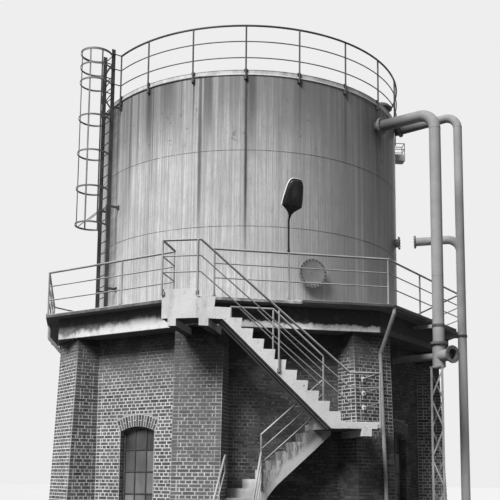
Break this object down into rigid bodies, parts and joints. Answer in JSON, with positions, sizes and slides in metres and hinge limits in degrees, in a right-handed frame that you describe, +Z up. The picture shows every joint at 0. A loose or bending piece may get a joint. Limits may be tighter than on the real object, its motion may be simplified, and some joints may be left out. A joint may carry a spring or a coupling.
{
  "type": "water tower",
  "caption": "Cylindrical steel water tank on an octagonal brick tower with corner piers, a railed gallery, an outside concrete stair, a caged ladder and riser pipes.",
  "frame": {"origin": "on the tank's vertical axis at ground level, in the middle of the underside of the ground floor", "axes": "+Z up; -Y out of the wall face behind the stair; +X to the right for someone who looks at that face"},
  "size_m": [10.4, 11.2363, 12.2],
  "materials": {
    "brick": "dark weathered brickwork",
    "concrete": "grimy cast concrete",
    "pale_concrete": "pale cast concrete",
    "tank_steel": "weathered grey paint with dark streaks",
    "rail_steel": "dull galvanised grey",
    "dark_steel": "dark rusty paint",
    "pipe_paint": "light grey pipe paint",
    "window_paint": "grey frames round dull panes"
  },
  "bodies": {
    "root": {"ground_floor": "concrete", "wall_front": "brick", "wall_front_right": "brick", "wall_right": "brick", "wall_back_right": "brick", "wall_back": "brick", "wall_back_left": "brick", "wall_left": "brick", "wall_front_left": "brick", "window_front_right": "window_paint", "window_back_right": "window_paint", "window_back_left": "window_paint", "window_front_left": "window_paint", "ring_beam": "concrete", "gallery_slab": "concrete", "tank_bottom": "tank_steel", "tank_shell": "tank_steel", "roof_rim": "tank_steel", "tank_roof": "tank_steel", "roof_vent": "dark_steel", "roof_railing_1": "rail_steel", "roof_railing_2": "rail_steel", "roof_railing_3": "rail_steel", "ladder": "dark_steel", "ladder_cage": "dark_steel", "manhole": "tank_steel", "low_nozzle": "dark_steel", "riser_pipe_1": "pipe_paint", "riser_pipe_2": "pipe_paint", "pipe_bracket_1": "rail_steel", "pipe_bracket_2": "rail_steel", "pipe_mast": "rail_steel", "pipe_tee": "pipe_paint", "gauge_box": "pipe_paint", "gallery_railing_front": "rail_steel", "gallery_railing_right": "rail_steel", "gallery_railing_back": "rail_steel", "gallery_railing_left": "rail_steel", "lamp_pole": "dark_steel", "lamp_head": "dark_steel", "gutter": "rail_steel", "downpipe_right": "rail_steel", "downpipe_left": "rail_steel", "top_landing": "pale_concrete", "stair_upper_flight": "pale_concrete", "mid_landing": "pale_concrete", "stair_lower_flight": "pale_concrete", "stair_railing_outer": "rail_steel", "stair_railing_inner": "rail_steel", "stair_railing_lower": "rail_steel", "stair_handrail": "rail_steel"}
  },
  "joints": []
}
